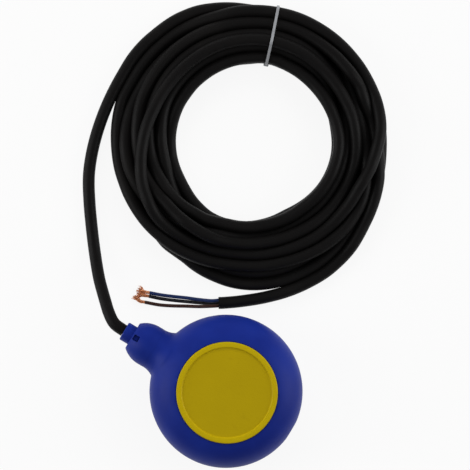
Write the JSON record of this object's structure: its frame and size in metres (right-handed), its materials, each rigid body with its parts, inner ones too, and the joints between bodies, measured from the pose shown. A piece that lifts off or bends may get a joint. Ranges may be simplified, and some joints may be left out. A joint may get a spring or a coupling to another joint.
{
  "type": "cable float switch",
  "caption": "Round cable float switch: a sealed plastic float with a ball-operated switch inside, on a coiled three-core cable with stripped ends",
  "frame": {"origin": "centre of the lower cap's rim, on which the float lies", "axes": "+Z along the disc's axis, +X from the neck to the far side of the disc, so the cable leaves along -X"},
  "size_m": [0.2175, 0.287, 0.048],
  "materials": {
    "blue_plastic": "smooth moulded, half gloss",
    "yellow_plastic": "fine matt grain with a smooth rim",
    "black_sheath": "satin cable sheath",
    "grey_rubber": "matt",
    "white_plastic": "smooth moulded",
    "dark_plastic": "matt moulded",
    "red_plastic": "smooth moulded",
    "plated_steel": "zinc plated",
    "polished_steel": "polished",
    "brass": "stamped",
    "tinned_brass": "tin plated",
    "blue_insulation": "half gloss",
    "black_insulation": "half gloss",
    "brown_insulation": "half gloss",
    "bare_copper": "bright strands",
    "tie_plastic": "milky, half clear"
  },
  "bodies": {
    "float": {"shell_lower": "blue_plastic", "shell_upper": "blue_plastic", "cap_lower": "yellow_plastic", "cap_upper": "yellow_plastic", "gland_collar": "blue_plastic", "gland_seal": "grey_rubber", "cable_root": "black_sheath", "switch_box": "white_plastic", "box_lid": "white_plastic", "box_gasket": "grey_rubber", "box_grommet": "grey_rubber", "lid_screws": "plated_steel", "cord_grip": "white_plastic", "grip_screws": "plated_steel", "ball_track": "white_plastic", "switch_case": "dark_plastic", "switch_cover": "dark_plastic", "switch_screws": "plated_steel", "lever_pin": "plated_steel", "contact_blade": "brass", "terminal_common": "brass", "terminal_closed": "brass", "terminal_open": "brass", "tag_brown": "tinned_brass", "tag_black": "tinned_brass", "tag_blue": "tinned_brass", "inner_wire_brown": "brown_insulation", "inner_wire_black": "black_insulation", "inner_wire_blue": "blue_insulation", "cable_lead": "black_sheath", "cable_coil": "black_sheath", "coil_tie": "tie_plastic", "cable_tail": "black_sheath", "core_blue": "blue_insulation", "core_black": "black_insulation", "core_brown": "brown_insulation", "strands_blue": "bare_copper", "strands_black": "bare_copper", "strands_brown": "bare_copper"},
    "ball": {"steel_ball": "polished_steel"},
    "lever": {"switch_lever": "plated_steel"},
    "plunger": {"switch_plunger": "red_plastic"}
  },
  "joints": [
    {"name": "ball_roll", "type": "slide", "parent": "float", "child": "ball", "axis": [-1, 0, 0], "range_m": [0, 0.01309]},
    {"name": "lever_swing", "type": "hinge", "parent": "float", "child": "lever", "pos_m": [0.0042, 0.0125, 0.024], "axis": [0, 0, -1], "range_deg": [0, 8], "stiffness_Nm_per_rad": 0.02, "springref_deg": -2.86},
    {"name": "plunger_travel", "type": "slide", "parent": "float", "child": "plunger", "axis": [-1, 0, 0], "range_m": [0, 0.00091]}
  ],
  "couplings": [
    {"joint": "plunger_travel", "follows": "lever_swing", "m_per_rad": 0.0065}
  ]
}
